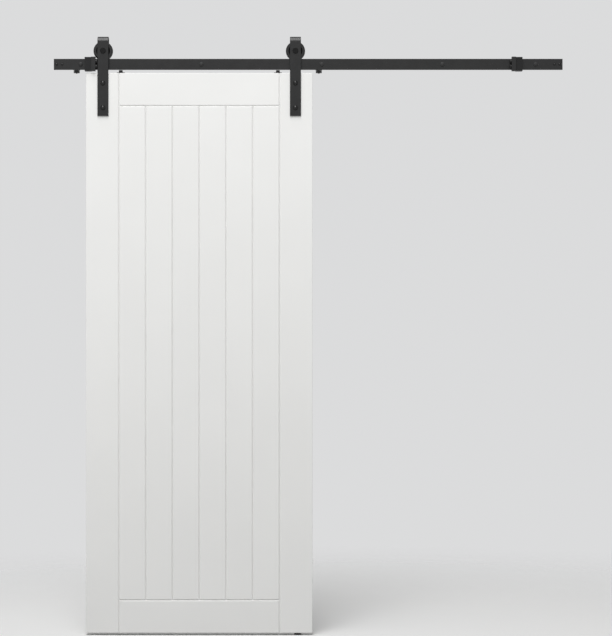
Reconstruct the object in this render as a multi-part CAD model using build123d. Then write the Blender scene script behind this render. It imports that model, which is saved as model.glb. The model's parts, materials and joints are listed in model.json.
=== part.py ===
from build123d import *
import os
from math import asin, cos, radians, sin, sqrt, tan

# Frame: millimetres, +X along the track to the right, +Y to the rear, +Z up.
# The origin is in the plane of the spacers' rear ends, midway between the outer wall bolts.

# Leaf: a framed door filled with upright boards, flush on both faces
LEAF_WIDTH = 825.0
LEAF_HEIGHT = 2040.0
LEAF_THICK = 40.0
LEAF_WALL_GAP = 7.5
LEAF_TRACK_GAP = 12.5
LEAF_FLOOR_GAP = 8.0
STILE_WIDTH = 120.0
TOP_RAIL_HEIGHT = 120.0
BOTTOM_RAIL_HEIGHT = 120.0
BOARD_COUNT = 6
LEAF_ARRIS = 1.5

# Joints of the leaf: tongues in grooves, a chamfer on every edge that meets another, and a hair gap between
V_CHAMFER = 3.8
JOINT_GAP = 0.3
TONGUE_THICK = 12.0
TONGUE_REACH = 10.0
TONGUE_SIDE_CLEAR = 0.2
TONGUE_END_CLEAR = 0.5

# Guide groove along the leaf's lower edge
GUIDE_GROOVE_WIDTH = 13.0
GUIDE_GROOVE_DEPTH = 18.0

# Track: a flat bar in front of its spacers
TRACK_LENGTH = 1855.0
TRACK_HEIGHT = 40.0
TRACK_THICK = 6.0
TRACK_ARRIS = 0.6
END_BOLT_INSET = 98.0
BOLT_PLACE_SHARES = (0.0, 0.265, 0.53, 0.795, 1.0)
SPACER_RADIUS = 11.0
SPACER_ARRIS = 1.0

# Wall bolts: low round heads, plain necks through the stand-offs, and points at their threads' core size
WALL_BOLT_RADIUS = 4.0
WALL_BOLT_THREAD_RADIUS = 3.4
WALL_BOLT_REACH = 60.0
WALL_BOLT_POINT = 8.0
BOLT_HEAD_RADIUS = 8.0
BOLT_HEAD_RIM = 2.2
BOLT_HEAD_RISE = 2.2
BOLT_HOLE_CLEAR = 0.25

# Button screws in the spare holes at the track's ends
END_SCREW_INSETS = (10.5, 30.0)
END_SCREW_RADIUS = 3.0
END_SCREW_HEAD_RADIUS = 4.4
END_SCREW_HEAD_RIM = 0.8
END_SCREW_HEAD_RISE = 3.2

# Wheels: grooved rims that ride on the bar
TREAD_RADIUS = 28.0
FLANGE_DEPTH = 7.0
WHEEL_WIDTH = 22.0
WHEEL_GROOVE_SIDE_CLEAR = 0.5
WHEEL_GROOVE_FLARE = 1.5
WHEEL_RUN_CLEAR = 0.3
FLANGE_BEVEL_DEPTH = 3.0
FLANGE_BEVEL_WIDTH = 5.0
RIM_FACE_WIDTH = 4.5
RIM_CONE_WIDTH = 5.5
HUB_WIDTH = 16.0

# Shielded bearings in the wheels
BEARING_RADIUS = 15.0
BEARING_WIDTH = 9.0
BEARING_SEAT_CLEAR = 0.05
OUTER_RING_WALL = 2.3
INNER_RING_WALL = 3.25
SHIELD_THICK = 0.8
SHIELD_INSET = 0.3
SHIELD_CLEAR = 0.3

# Axles: plain round heads, with square necks in the straps that keep them from turning
AXLE_RADIUS = 5.0
AXLE_CLEAR = 0.05
AXLE_HOLE_CLEAR = 0.2
AXLE_HEAD_RADIUS = 10.3
AXLE_HEAD_THICK = 4.0
AXLE_HEAD_CHAMFER = 0.8
AXLE_NECK_WIDTH = 10.6
AXLE_NUT_WIDTH = 17.0
AXLE_NUT_THICK = 8.0
AXLE_END_PROUD = 1.6
AXLE_END_CHAMFER = 0.8
BUSH_RADIUS = 8.0

# Hangers: flat straps folded over the wheels and bolted through the stiles
STRAP_WIDTH = 40.0
STRAP_THICK = 5.0
STRAP_ARRIS = 1.0
STRAP_INSET = 62.0
STRAP_WHEEL_GAP = 1.5
STRAP_FOLD_RISE = 34.9
STRAP_BACK_DROP = 20.0
STRAP_BACK_CORNER = 8.0
STRAP_FOOT = 30.0
STRAP_BOLT_DROP = 37.0
STRAP_BOLT_PITCH = 90.0

# Strap bolts and the sleeve nuts that take them from the leaf's back
STRAP_BOLT_RADIUS = 4.0
STRAP_BOLT_GRIP = 34.0
STRAP_BOLT_HEAD_RADIUS = 9.0
STRAP_BOLT_HEAD_RIM = 1.2
STRAP_BOLT_HEAD_RISE = 6.5
SLEEVE_RADIUS = 6.0
SLEEVE_LENGTH = 22.0
SLEEVE_HEAD_RADIUS = 10.0
SLEEVE_HEAD_THICK = 3.0
SLEEVE_HEAD_CHAMFER = 0.8
SLEEVE_SOCKET_WIDTH = 5.0
SLEEVE_SOCKET_DEPTH = 2.0
FASTENER_CLEAR = 0.2

# Travel stops: a sleeve on the bar, a proud block and two rubber buffers
LEFT_STOP_GAP = 4.6
RIGHT_STOP_GAP = 38.4
CLAMP_LENGTH = 24.5
CLAMP_WALL = 5.0
CLAMP_PROUD = 16.0
CLAMP_BACK = 9.7
CLAMP_CLEAR = 0.3
CLAMP_ARRIS = 1.0
STOP_BLOCK_LENGTH = 14.7
STOP_BLOCK_HEIGHT = 52.0
STOP_BLOCK_PROUD = 21.0
STOP_BLOCK_ARRIS = 1.2
BUFFER_RADIUS = 7.0
BUFFER_REACH = 7.0
BUFFER_ROUND = 2.0
BUFFER_SPACING = 18.4
BUFFER_STUD_RADIUS = 2.5
BUFFER_STUD_BITE = 10.0
BUFFER_TOUCH_CLEAR = 0.3
SET_SCREW_RADIUS = 3.0
SET_SCREW_SPACING = 20.0
SET_SCREW_SOCKET_RADIUS = 1.5
SET_SCREW_SOCKET_DEPTH = 3.0
SCREW_CLEAR = 0.1

# Catches: hexagonal cap nuts hung behind the bar on small folded angles
LEFT_CATCH_OFFSET = 17.0
RIGHT_CATCH_OFFSET = 11.0
CATCH_WIDTH = 19.0
CATCH_ARRIS = 0.6
CATCH_WALL_GAP = 3.5
CATCH_NIB_RADIUS = 3.0
CATCH_NIB_REACH = 1.7
CATCH_NIB_ROUND = 1.2
CATCH_LEAF_CLEAR = 0.9
CATCH_COLLAR_RADIUS = 7.5
CATCH_COLLAR_THICK = 1.2
CATCH_STUD_BITE = 5.0
CATCH_SCREW_RADIUS = 2.0
CATCH_SCREW_HEAD_RADIUS = 3.4
CATCH_SCREW_HEAD_RIM = 0.6
CATCH_SCREW_HEAD_RISE = 2.0
ANGLE_THICK = 3.0
ANGLE_BEND = 1.5
ANGLE_WIDTH = 24.0
ANGLE_LIFT = 1.0
ANGLE_RISE = 26.0
ANGLE_SPACER_GAP = 2.5
ANGLE_SCREW_EDGE = 7.0
ANGLE_SCREW_BITE = 4.5

# Lift stops: flanged stubs on the leaf's top edge, under the bar
LIFT_STOP_JOINT_GAP = 6.0
LIFT_STOP_RADIUS = 7.0
LIFT_STOP_TRACK_CLEAR = 1.8
LIFT_BASE_LENGTH = 30.0
LIFT_BASE_WIDTH = 18.0
LIFT_BASE_THICK = 2.5
LIFT_SCREW_RADIUS = 2.0
LIFT_SCREW_HEAD_RADIUS = 4.0
LIFT_SCREW_HEAD_DEPTH = 2.4
LIFT_SCREW_BITE = 30.0

# Floor guide: a turned foot with a pin that runs in the leaf's groove
GUIDE_OFFSET = 8.0
GUIDE_FOOT_RADIUS = 12.2
GUIDE_FOOT_HEIGHT = 6.0
GUIDE_FOOT_ROUND = 2.0
GUIDE_PIN_RADIUS = 6.0
GUIDE_PIN_END_CLEAR = 4.0
GUIDE_PIN_CHAMFER = 1.0
GUIDE_SCREW_RADIUS = 2.5
GUIDE_SCREW_HEAD_RADIUS = 4.2
GUIDE_SCREW_HEAD_DEPTH = 2.5
GUIDE_SCREW_REACH = 25.0
GUIDE_SCREW_POINT = 5.0

# Nuts: their ends are coned down to a circle a little smaller than the flats
NUT_CROWN_SHARE = 0.95
NUT_CROWN_ANGLE = 30.0

# Cuts run past the faces they open by this much
OVERRUN = 1.0

# Depths, worked out from the spacers' rear ends towards the front
LEAF_BACK_Y = -LEAF_WALL_GAP
LEAF_FRONT_Y = LEAF_BACK_Y - LEAF_THICK
LEAF_MID_Y = (LEAF_BACK_Y + LEAF_FRONT_Y) / 2
STRAP_FRONT_Y = LEAF_FRONT_Y - STRAP_THICK
WHEEL_Y = LEAF_FRONT_Y + STRAP_WHEEL_GAP + WHEEL_WIDTH / 2
STRAP_BACK_INNER_Y = WHEEL_Y + WHEEL_WIDTH / 2 + STRAP_WHEEL_GAP
STRAP_BACK_Y = STRAP_BACK_INNER_Y + STRAP_THICK
TRACK_FRONT_Y = WHEEL_Y - TRACK_THICK / 2
TRACK_BACK_Y = WHEEL_Y + TRACK_THICK / 2
STRAP_MID_Y = (STRAP_FRONT_Y + LEAF_FRONT_Y) / 2
CATCH_Y = -CATCH_WALL_GAP - CATCH_WIDTH / 2

# Heights
TRACK_TOP_Z = TRACK_HEIGHT / 2
TRACK_BOTTOM_Z = -TRACK_HEIGHT / 2
AXLE_Z = TRACK_TOP_Z + TREAD_RADIUS + WHEEL_RUN_CLEAR
LEAF_TOP_Z = TRACK_BOTTOM_Z - LEAF_TRACK_GAP
LEAF_BOTTOM_Z = LEAF_TOP_Z - LEAF_HEIGHT
FLOOR_Z = LEAF_BOTTOM_Z - LEAF_FLOOR_GAP
STRAP_BOLT_HEIGHTS = (LEAF_TOP_Z - STRAP_BOLT_DROP, LEAF_TOP_Z - STRAP_BOLT_DROP - STRAP_BOLT_PITCH)
STRAP_END_Z = min(STRAP_BOLT_HEIGHTS) - STRAP_FOOT

# Places along the track: bolts first, then the left stop, the hangers and the right stop
BOLT_SPAN = TRACK_LENGTH - 2 * END_BOLT_INSET
BOLT_PLACES = [BOLT_SPAN * (share - 1 / 2) for share in BOLT_PLACE_SHARES]
STOP_DEPTH = CLAMP_LENGTH + STOP_BLOCK_LENGTH
LEFT_STOP_FACE = BOLT_PLACES[0] + SPACER_RADIUS + LEFT_STOP_GAP + STOP_DEPTH
RIGHT_STOP_FACE = BOLT_PLACES[-1] - SPACER_RADIUS - RIGHT_STOP_GAP - STOP_DEPTH
LEFT_HANGER_X = LEFT_STOP_FACE + BUFFER_REACH + BUFFER_TOUCH_CLEAR + STRAP_WIDTH / 2
LEAF_LEFT_X = LEFT_HANGER_X - STRAP_INSET
LEAF_RIGHT_X = LEAF_LEFT_X + LEAF_WIDTH
RIGHT_HANGER_X = LEAF_RIGHT_X - STRAP_INSET
SLIDE_TRAVEL = RIGHT_STOP_FACE - BUFFER_REACH - BUFFER_TOUCH_CLEAR - STRAP_WIDTH / 2 - RIGHT_HANGER_X
HANGERS = {"left": LEFT_HANGER_X, "right": RIGHT_HANGER_X}
LIFT_STOP_INSET = STILE_WIDTH + LIFT_STOP_JOINT_GAP
LIFT_STOP_PLACES = {"left": LEAF_LEFT_X + LIFT_STOP_INSET, "right": LEAF_RIGHT_X - LIFT_STOP_INSET}
GUIDE_X = RIGHT_HANGER_X + GUIDE_OFFSET


def block(x_ends, y_ends, z_ends):
    """A box between two ends along each axis."""
    spans = (x_ends, y_ends, z_ends)
    middle = [(low + high) / 2 for low, high in spans]
    sizes = [high - low for low, high in spans]
    return Pos(*middle) * Box(*sizes)


def rod_along_x(radius, x_ends, y, z):
    length = x_ends[1] - x_ends[0]
    return Pos((x_ends[0] + x_ends[1]) / 2, y, z) * Rot(0, 90, 0) * Cylinder(radius, length)


def rod_along_y(radius, y_ends, x, z):
    length = y_ends[1] - y_ends[0]
    return Pos(x, (y_ends[0] + y_ends[1]) / 2, z) * Rot(90, 0, 0) * Cylinder(radius, length)


def rod_along_z(radius, z_ends, x, y):
    length = z_ends[1] - z_ends[0]
    return Pos(x, y, (z_ends[0] + z_ends[1]) / 2) * Cylinder(radius, length)


def turned_about_y(points, x, z):
    """A body of revolution about Y from (radius, y) points."""
    section = make_face(Polyline(*points, close=True))
    return Pos(x, 0, z) * revolve(section, Axis.Y)


def turned_about_z(points, x, y):
    """A body of revolution about Z from (radius, z) points."""
    section = make_face(Polyline(*[(radius, 0, z) for radius, z in points], close=True))
    return Pos(x, y, 0) * revolve(section, Axis.Z)


def domed_head(radius, rim, rise):
    """A domed bolt head that sits on y = 0 and bulges towards -Y."""
    dome_radius = (radius**2 + rise**2) / (2 * rise)
    half_angle = asin(radius / dome_radius) / 2
    crown = -rim - rise
    shoulder = (dome_radius * sin(half_angle), crown + dome_radius * (1 - cos(half_angle)))
    outline = Polyline((0, crown), (0, 0), (radius, 0), (radius, -rim))
    outline += ThreePointArc((radius, -rim), shoulder, (0, crown))
    return revolve(make_face(outline), Axis.Y)


def square_along_y(width, y_ends, x, z):
    half = width / 2
    return block((x - half, x + half), y_ends, (z - half, z + half))


def hexagon_along_y(width, y_ends, x, z):
    """A hexagonal prism along Y, measured across its flats."""
    section = Plane.XZ * RegularPolygon(width / 2, 6, major_radius=False)
    prism = extrude(section, y_ends[1] - y_ends[0], dir=(0, 1, 0))
    return Pos(x, y_ends[0], z) * prism


def nut_crown(width, ends):
    """(radius, place) points of a turned body that cones both ends of a hexagonal prism."""
    low, high = ends
    start = NUT_CROWN_SHARE * width / 2
    reach = width / sqrt(3) + OVERRUN
    slope = (reach - start) * tan(radians(NUT_CROWN_ANGLE))
    return [(0, low), (start, low), (reach, low + slope), (reach, high - slope), (start, high), (0, high)]


def edge_outline(kind):
    """One long edge of a leaf member, front to back, as (inset from the edge line, depth) points."""
    half = LEAF_THICK / 2
    if kind == "outer":
        straight = half - LEAF_ARRIS
        return [(LEAF_ARRIS, -half), (0, -straight), (0, straight), (LEAF_ARRIS, half)]
    if kind == "groove":
        step = TONGUE_THICK / 2 + TONGUE_SIDE_CLEAR
        inset = TONGUE_REACH + TONGUE_END_CLEAR
    else:
        step = TONGUE_THICK / 2
        inset = -TONGUE_REACH
    shoulder = JOINT_GAP / 2
    mouth = shoulder + V_CHAMFER
    return [
        (mouth, -half),
        (shoulder, -half + V_CHAMFER),
        (shoulder, -step),
        (inset, -step),
        (inset, step),
        (shoulder, step),
        (shoulder, half - V_CHAMFER),
        (mouth, half),
    ]


def member_outline(span, low_kind, high_kind):
    """A member's section as (place across, depth) points, from its two edges."""
    high_edge = [(span - inset, depth) for inset, depth in edge_outline(high_kind)]
    low_edge = [(inset, depth) for inset, depth in edge_outline(low_kind)]
    return high_edge + low_edge[::-1]


def leaf_member(x, z, width, height, side_kinds, end_kinds):
    """A leaf member from its lower left corner: its plan section crossed with its upright section."""
    reach = TONGUE_REACH + OVERRUN
    plan = make_face(Polyline(*member_outline(width, *side_kinds), close=True))
    upright = [(0, depth, place) for place, depth in member_outline(height, *end_kinds)]
    side = make_face(Polyline(*upright, close=True))
    along_z = Pos(0, 0, -reach) * extrude(plan, height + 2 * reach, dir=(0, 0, 1))
    along_x = Pos(-reach, 0, 0) * extrude(side, width + 2 * reach, dir=(1, 0, 0))
    return Pos(x, LEAF_MID_Y, z) * (along_z & along_x)


def guide_groove():
    """The groove that runs the leaf's whole width in its lower edge."""
    half = GUIDE_GROOVE_WIDTH / 2
    return block(
        (LEAF_LEFT_X - OVERRUN, LEAF_RIGHT_X + OVERRUN),
        (LEAF_MID_Y - half, LEAF_MID_Y + half),
        (LEAF_BOTTOM_Z - OVERRUN, LEAF_BOTTOM_Z + GUIDE_GROOVE_DEPTH),
    )


def strap_bolt_bores(x):
    """The stepped holes for one hanger's bolts: narrow at the front, wide for the sleeve at the back."""
    narrow = STRAP_BOLT_RADIUS + FASTENER_CLEAR
    wide = SLEEVE_RADIUS + FASTENER_CLEAR
    step_y = LEAF_BACK_Y - SLEEVE_LENGTH - FASTENER_CLEAR
    bores = []
    for z in STRAP_BOLT_HEIGHTS:
        bores.append(rod_along_y(narrow, (LEAF_FRONT_Y - OVERRUN, step_y + OVERRUN), x, z))
        bores.append(rod_along_y(wide, (step_y, LEAF_BACK_Y + OVERRUN), x, z))
    return bores


def stile(side):
    """An upright member with the groove on its inner edge."""
    left = side == "left"
    x = LEAF_LEFT_X if left else LEAF_RIGHT_X - STILE_WIDTH
    kinds = ("outer", "groove") if left else ("groove", "outer")
    body = leaf_member(x, LEAF_BOTTOM_Z, STILE_WIDTH, LEAF_HEIGHT, kinds, ("outer", "outer"))
    return body - guide_groove() - strap_bolt_bores(HANGERS[side])


def lift_screw_bore(x):
    radius = LIFT_SCREW_RADIUS + SCREW_CLEAR
    depth = LIFT_SCREW_BITE + OVERRUN
    return rod_along_z(radius, (LEAF_TOP_Z - depth, LEAF_TOP_Z + OVERRUN), x, WHEEL_Y)


def leaf():
    """The framed leaf: two stiles, two rails and the boards between them."""
    inner_left = LEAF_LEFT_X + STILE_WIDTH
    inner_width = LEAF_WIDTH - 2 * STILE_WIDTH
    board_foot = LEAF_BOTTOM_Z + BOTTOM_RAIL_HEIGHT
    board_height = LEAF_HEIGHT - TOP_RAIL_HEIGHT - BOTTOM_RAIL_HEIGHT
    board_width = inner_width / BOARD_COUNT
    tongues = ("tongue", "tongue")
    rail_foot = LEAF_TOP_Z - TOP_RAIL_HEIGHT
    top_rail = leaf_member(inner_left, rail_foot, inner_width, TOP_RAIL_HEIGHT, tongues, ("groove", "outer"))
    bottom_rail = leaf_member(
        inner_left, LEAF_BOTTOM_Z, inner_width, BOTTOM_RAIL_HEIGHT, tongues, ("outer", "groove")
    )
    pieces = {
        "left_stile": stile("left"),
        "right_stile": stile("right"),
        "top_rail": top_rail - [lift_screw_bore(x) for x in LIFT_STOP_PLACES.values()],
        "bottom_rail": bottom_rail - guide_groove(),
    }
    for index in range(BOARD_COUNT):
        last = index == BOARD_COUNT - 1
        kinds = tongues if last else ("tongue", "groove")
        x = inner_left + index * board_width
        pieces[f"board_{index + 1}"] = leaf_member(x, board_foot, board_width, board_height, kinds, tongues)
    return pieces


def track_bar():
    """The flat bar with its bolt holes and the tapped holes at its ends."""
    half = TRACK_LENGTH / 2
    bar = block((-half, half), (TRACK_FRONT_Y, TRACK_BACK_Y), (TRACK_BOTTOM_Z, TRACK_TOP_Z))
    bar = chamfer(bar.edges().filter_by(Axis.X), TRACK_ARRIS)
    through = (TRACK_FRONT_Y - OVERRUN, TRACK_BACK_Y + OVERRUN)
    bolt_hole = WALL_BOLT_RADIUS + BOLT_HOLE_CLEAR
    screw_hole = END_SCREW_RADIUS + SCREW_CLEAR
    holes = [rod_along_y(bolt_hole, through, x, 0) for x in BOLT_PLACES]
    holes += [rod_along_y(screw_hole, through, x, 0) for x in end_screw_places()]
    for x, place in catch_places().values():
        radius = CATCH_SCREW_RADIUS + SCREW_CLEAR
        y_ends = (TRACK_BACK_Y - ANGLE_SCREW_BITE - SCREW_CLEAR, TRACK_BACK_Y + OVERRUN)
        holes.append(rod_along_y(radius, y_ends, *angle_screw_place(x, place)))
    return bar - holes


def end_screw_places():
    half = TRACK_LENGTH / 2
    return [side * (half - inset) for side in (-1, 1) for inset in END_SCREW_INSETS]


def spacer(x):
    """A turned stand-off behind the bar, round one of the wall bolts."""
    bore = WALL_BOLT_RADIUS + BOLT_HOLE_CLEAR
    return turned_about_y(
        [
            (bore, TRACK_BACK_Y),
            (SPACER_RADIUS - SPACER_ARRIS, TRACK_BACK_Y),
            (SPACER_RADIUS, TRACK_BACK_Y + SPACER_ARRIS),
            (SPACER_RADIUS, -SPACER_ARRIS),
            (SPACER_RADIUS - SPACER_ARRIS, 0),
            (bore, 0),
        ],
        x,
        0,
    )


def wall_bolts():
    """The lag bolts, each with a domed head on the bar and a pointed shank beyond its spacer."""
    bolts = []
    for x in BOLT_PLACES:
        shank = turned_about_y(
            [
                (0, TRACK_FRONT_Y),
                (WALL_BOLT_RADIUS, TRACK_FRONT_Y),
                (WALL_BOLT_RADIUS, 0),
                (WALL_BOLT_THREAD_RADIUS, 0),
                (WALL_BOLT_THREAD_RADIUS, WALL_BOLT_REACH - WALL_BOLT_POINT),
                (0, WALL_BOLT_REACH),
            ],
            x,
            0,
        )
        head = domed_head(BOLT_HEAD_RADIUS, BOLT_HEAD_RIM, BOLT_HEAD_RISE)
        bolts.append(shank + Pos(x, TRACK_FRONT_Y, 0) * head)
    return Compound(children=bolts)


def end_screws():
    """Small button screws in the tapped holes at the bar's ends."""
    screws = []
    for x in end_screw_places():
        shank = rod_along_y(END_SCREW_RADIUS, (TRACK_FRONT_Y, TRACK_BACK_Y), x, 0)
        head = domed_head(END_SCREW_HEAD_RADIUS, END_SCREW_HEAD_RIM, END_SCREW_HEAD_RISE)
        screws.append(shank + Pos(x, TRACK_FRONT_Y, 0) * head)
    return Compound(children=screws)


def wheel_rim(x):
    """The grooved wheel: a tread between two flanges, and a dished face on either side of the hub."""
    outer = TREAD_RADIUS + FLANGE_DEPTH
    face_outer = outer - FLANGE_BEVEL_WIDTH
    face_inner = face_outer - RIM_FACE_WIDTH
    cone_inner = face_inner - RIM_CONE_WIDTH
    seat = BEARING_RADIUS + BEARING_SEAT_CLEAR
    half = WHEEL_WIDTH / 2
    hub_half = HUB_WIDTH / 2
    groove_half = TRACK_THICK / 2 + WHEEL_GROOVE_SIDE_CLEAR
    mouth_half = groove_half + WHEEL_GROOVE_FLARE
    back_half = [
        (TREAD_RADIUS, groove_half),
        (outer, mouth_half),
        (outer, half - FLANGE_BEVEL_DEPTH),
        (face_outer, half),
        (face_inner, half),
        (cone_inner, hub_half),
        (seat, hub_half),
    ]
    front_half = [(radius, -y) for radius, y in back_half[::-1]]
    return Pos(0, WHEEL_Y, 0) * turned_about_y(back_half + front_half, x, AXLE_Z)


def outer_ring(x):
    """The bearing's outer ring with its two shields."""
    half = BEARING_WIDTH / 2
    race = BEARING_RADIUS - OUTER_RING_WALL
    shield_bore = AXLE_RADIUS + AXLE_CLEAR + INNER_RING_WALL + SHIELD_CLEAR
    shield_outer = half - SHIELD_INSET
    shield_inner = shield_outer - SHIELD_THICK
    back_half = [
        (race, shield_inner),
        (shield_bore, shield_inner),
        (shield_bore, shield_outer),
        (race, shield_outer),
        (race, half),
        (BEARING_RADIUS, half),
    ]
    front_half = [(radius, -y) for radius, y in back_half[::-1]]
    return Pos(0, WHEEL_Y, 0) * turned_about_y(back_half + front_half, x, AXLE_Z)


def ring_about_axle(inner, outer, y_ends, x):
    """A plain ring on the axle."""
    low, high = y_ends
    return turned_about_y([(inner, low), (outer, low), (outer, high), (inner, high)], x, AXLE_Z)


def axle_set(x):
    """The axle bolt, its nut, the bearing's inner ring and the two bushes that centre it in the strap."""
    half = BEARING_WIDTH / 2
    bore = AXLE_RADIUS + AXLE_CLEAR
    shank_end = STRAP_BACK_Y + AXLE_NUT_THICK + AXLE_END_PROUD
    head_front = STRAP_FRONT_Y - AXLE_HEAD_THICK
    bolt = turned_about_y(
        [
            (0, head_front),
            (AXLE_HEAD_RADIUS - AXLE_HEAD_CHAMFER, head_front),
            (AXLE_HEAD_RADIUS, head_front + AXLE_HEAD_CHAMFER),
            (AXLE_HEAD_RADIUS, STRAP_FRONT_Y),
            (AXLE_RADIUS, STRAP_FRONT_Y),
            (AXLE_RADIUS, shank_end - AXLE_END_CHAMFER),
            (AXLE_RADIUS - AXLE_END_CHAMFER, shank_end),
            (0, shank_end),
        ],
        x,
        AXLE_Z,
    )
    neck_y = (STRAP_FRONT_Y, LEAF_FRONT_Y - AXLE_HOLE_CLEAR)
    bolt += square_along_y(AXLE_NECK_WIDTH, neck_y, x, AXLE_Z)
    nut_ends = (STRAP_BACK_Y, STRAP_BACK_Y + AXLE_NUT_THICK)
    nut = hexagon_along_y(AXLE_NUT_WIDTH, nut_ends, x, AXLE_Z)
    nut &= turned_about_y(nut_crown(AXLE_NUT_WIDTH, nut_ends), x, AXLE_Z)
    nut -= rod_along_y(bore, (STRAP_BACK_Y - OVERRUN, shank_end + OVERRUN), x, AXLE_Z)
    ring = ring_about_axle(bore, bore + INNER_RING_WALL, (WHEEL_Y - half, WHEEL_Y + half), x)
    front_bush = ring_about_axle(bore, BUSH_RADIUS, (LEAF_FRONT_Y, WHEEL_Y - half), x)
    back_bush = ring_about_axle(bore, BUSH_RADIUS, (WHEEL_Y + half, STRAP_BACK_INNER_Y), x)
    return bolt, nut, ring, Compound(children=[front_bush, back_bush])


def strap(x):
    """A flat strap folded over its wheel: a long front leg bolted to the leaf and a short back leg."""
    fold_outer = (STRAP_BACK_Y - STRAP_FRONT_Y) / 2
    fold_inner = fold_outer - STRAP_THICK
    fold_z = AXLE_Z + STRAP_FOLD_RISE
    back_end_z = AXLE_Z - STRAP_BACK_DROP
    outline = Polyline((0, STRAP_FRONT_Y, fold_z), (0, STRAP_FRONT_Y, STRAP_END_Z))
    outline += Polyline(
        (0, STRAP_FRONT_Y, STRAP_END_Z), (0, LEAF_FRONT_Y, STRAP_END_Z), (0, LEAF_FRONT_Y, fold_z)
    )
    outline += ThreePointArc(
        (0, LEAF_FRONT_Y, fold_z), (0, WHEEL_Y, fold_z + fold_inner), (0, STRAP_BACK_INNER_Y, fold_z)
    )
    outline += Polyline(
        (0, STRAP_BACK_INNER_Y, fold_z),
        (0, STRAP_BACK_INNER_Y, back_end_z),
        (0, STRAP_BACK_Y, back_end_z),
        (0, STRAP_BACK_Y, fold_z),
    )
    outline += ThreePointArc(
        (0, STRAP_BACK_Y, fold_z), (0, WHEEL_Y, fold_z + fold_outer), (0, STRAP_FRONT_Y, fold_z)
    )
    body = Pos(x - STRAP_WIDTH / 2, 0, 0) * extrude(make_face(outline), STRAP_WIDTH, dir=(1, 0, 0))
    short_edges = body.edges().filter_by(Axis.Y).group_by(Axis.Z)
    body = fillet(short_edges[1], STRAP_BACK_CORNER)
    arcs = body.edges().filter_by(GeomType.CIRCLE)
    fold = arcs.filter_by(lambda arc: abs(arc.radius - fold_outer) < STRAP_ARRIS)
    front = body.edges().filter_by(Axis.Z).group_by(Axis.Y)[0]
    body = chamfer(fold + front, STRAP_ARRIS)
    axle_hole = AXLE_RADIUS + AXLE_HOLE_CLEAR
    body -= rod_along_y(axle_hole, (STRAP_FRONT_Y - OVERRUN, STRAP_BACK_Y + OVERRUN), x, AXLE_Z)
    front_leg = (STRAP_FRONT_Y - OVERRUN, LEAF_FRONT_Y + OVERRUN)
    body -= square_along_y(AXLE_NECK_WIDTH + 2 * AXLE_HOLE_CLEAR, front_leg, x, AXLE_Z)
    bolt_hole = STRAP_BOLT_RADIUS + FASTENER_CLEAR
    for z in STRAP_BOLT_HEIGHTS:
        body -= rod_along_y(bolt_hole, front_leg, x, z)
    return body


def strap_bolts(x):
    """The two domed bolts of one hanger."""
    bolts = []
    for z in STRAP_BOLT_HEIGHTS:
        shank = rod_along_y(STRAP_BOLT_RADIUS, (STRAP_FRONT_Y, STRAP_FRONT_Y + STRAP_BOLT_GRIP), x, z)
        head = domed_head(STRAP_BOLT_HEAD_RADIUS, STRAP_BOLT_HEAD_RIM, STRAP_BOLT_HEAD_RISE)
        bolts.append(shank + Pos(x, STRAP_FRONT_Y, z) * head)
    return Compound(children=bolts)


def sleeve_nuts(x):
    """The two sleeve nuts of one hanger, with thin socket heads on the leaf's back."""
    bore = STRAP_BOLT_RADIUS + SCREW_CLEAR
    head_y = LEAF_BACK_Y + SLEEVE_HEAD_THICK
    mouth_y = LEAF_BACK_Y - SLEEVE_LENGTH
    outline = [
        (bore, mouth_y),
        (SLEEVE_RADIUS, mouth_y),
        (SLEEVE_RADIUS, LEAF_BACK_Y),
        (SLEEVE_HEAD_RADIUS, LEAF_BACK_Y),
        (SLEEVE_HEAD_RADIUS, head_y - SLEEVE_HEAD_CHAMFER),
        (SLEEVE_HEAD_RADIUS - SLEEVE_HEAD_CHAMFER, head_y),
        (0, head_y),
        (0, LEAF_BACK_Y),
        (bore, LEAF_BACK_Y),
    ]
    socket_ends = (head_y - SLEEVE_SOCKET_DEPTH, head_y + OVERRUN)
    nuts = []
    for z in STRAP_BOLT_HEIGHTS:
        socket = hexagon_along_y(SLEEVE_SOCKET_WIDTH, socket_ends, x, z)
        nuts.append(turned_about_y(outline, x, z) - socket)
    return Compound(children=nuts)


def buffer_heights():
    return (-BUFFER_SPACING / 2, BUFFER_SPACING / 2)


def set_screw_heights():
    return (-SET_SCREW_SPACING / 2, SET_SCREW_SPACING / 2)


def mirrored_span(face, near, far, away):
    """Ends along X of a stretch that starts and stops at distances behind a stop's face."""
    ends = (face + away * near, face + away * far)
    return (min(ends), max(ends))


def stop_clamp(face, away):
    """The sleeve round the bar, drilled for the buffers' studs and tapped behind for the set screws."""
    x_ends = mirrored_span(face, STOP_BLOCK_LENGTH, STOP_DEPTH, away)
    height = TRACK_HEIGHT / 2 + CLAMP_CLEAR + CLAMP_WALL
    slot_back = TRACK_BACK_Y + CLAMP_CLEAR
    back_y = slot_back + CLAMP_BACK
    body = block(x_ends, (TRACK_FRONT_Y - CLAMP_PROUD, back_y), (-height, height))
    body = chamfer(body.edges().filter_by(Axis.X), CLAMP_ARRIS)
    slot_half = TRACK_HEIGHT / 2 + CLAMP_CLEAR
    slot_x = (x_ends[0] - OVERRUN, x_ends[1] + OVERRUN)
    body -= block(slot_x, (TRACK_FRONT_Y, slot_back), (-slot_half, slot_half))
    bite = STOP_BLOCK_LENGTH + BUFFER_STUD_BITE + SCREW_CLEAR
    stud_x = mirrored_span(face, STOP_BLOCK_LENGTH - OVERRUN, bite, away)
    for z in buffer_heights():
        body -= rod_along_x(BUFFER_STUD_RADIUS + SCREW_CLEAR, stud_x, STRAP_MID_Y, z)
    screw_x = (x_ends[0] + x_ends[1]) / 2
    for z in set_screw_heights():
        y_ends = (slot_back - CLAMP_CLEAR, back_y + OVERRUN)
        body -= rod_along_y(SET_SCREW_RADIUS + SCREW_CLEAR, y_ends, screw_x, z)
    return body


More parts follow.
